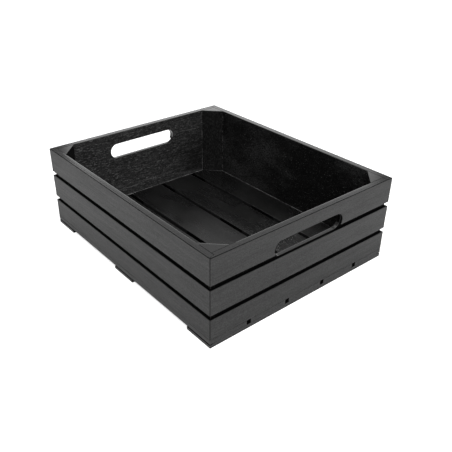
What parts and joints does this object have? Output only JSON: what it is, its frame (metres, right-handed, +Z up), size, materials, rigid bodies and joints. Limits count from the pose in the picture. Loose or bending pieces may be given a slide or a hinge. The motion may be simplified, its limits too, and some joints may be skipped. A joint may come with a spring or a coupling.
{
  "type": "wooden crate",
  "caption": "Low open rectangular crate with slatted black-stained wood walls, inside corner posts, a planked floor on battens and a handle slot through each short wall.",
  "frame": {"origin": "middle of the underside, on the surface that the battens stand on", "axes": "+X across the crate's width, +Y along its length from the front handle wall to the back handle wall, +Z up"},
  "size_m": [0.29, 0.35, 0.115],
  "materials": {
    "slat_stain": "black satin stain on planed, fine-grained wood",
    "panel_stain": "matt black stain on rough thin wood panel",
    "floor_stain": "black satin stain on planed planks",
    "post_stain": "matt black stain on sawn wood",
    "batten_stain": "black satin stain on planed wood",
    "nail_steel": "bright drawn steel"
  },
  "bodies": {
    "root": {"front_slat_top": "slat_stain", "front_slat_middle": "slat_stain", "front_slat_bottom": "slat_stain", "back_slat_top": "slat_stain", "back_slat_middle": "slat_stain", "back_slat_bottom": "slat_stain", "left_slat_top": "slat_stain", "left_slat_middle": "slat_stain", "left_slat_bottom": "slat_stain", "right_slat_top": "slat_stain", "right_slat_middle": "slat_stain", "right_slat_bottom": "slat_stain", "front_panel": "panel_stain", "back_panel": "panel_stain", "left_panel": "panel_stain", "right_panel": "panel_stain", "corner_post_front_left": "post_stain", "corner_post_front_right": "post_stain", "corner_post_back_right": "post_stain", "corner_post_back_left": "post_stain", "floor_plank_1": "floor_stain", "floor_plank_2": "floor_stain", "floor_plank_3": "floor_stain", "floor_plank_4": "floor_stain", "floor_plank_5": "floor_stain", "base_batten_front": "batten_stain", "base_batten_middle": "batten_stain", "base_batten_back": "batten_stain", "nail_front_1": "nail_steel", "nail_front_2": "nail_steel", "nail_front_3": "nail_steel", "nail_front_4": "nail_steel", "nail_front_5": "nail_steel", "nail_middle_1": "nail_steel", "nail_middle_2": "nail_steel", "nail_middle_3": "nail_steel", "nail_middle_4": "nail_steel", "nail_middle_5": "nail_steel", "nail_back_1": "nail_steel", "nail_back_2": "nail_steel", "nail_back_3": "nail_steel", "nail_back_4": "nail_steel", "nail_back_5": "nail_steel"}
  },
  "joints": []
}
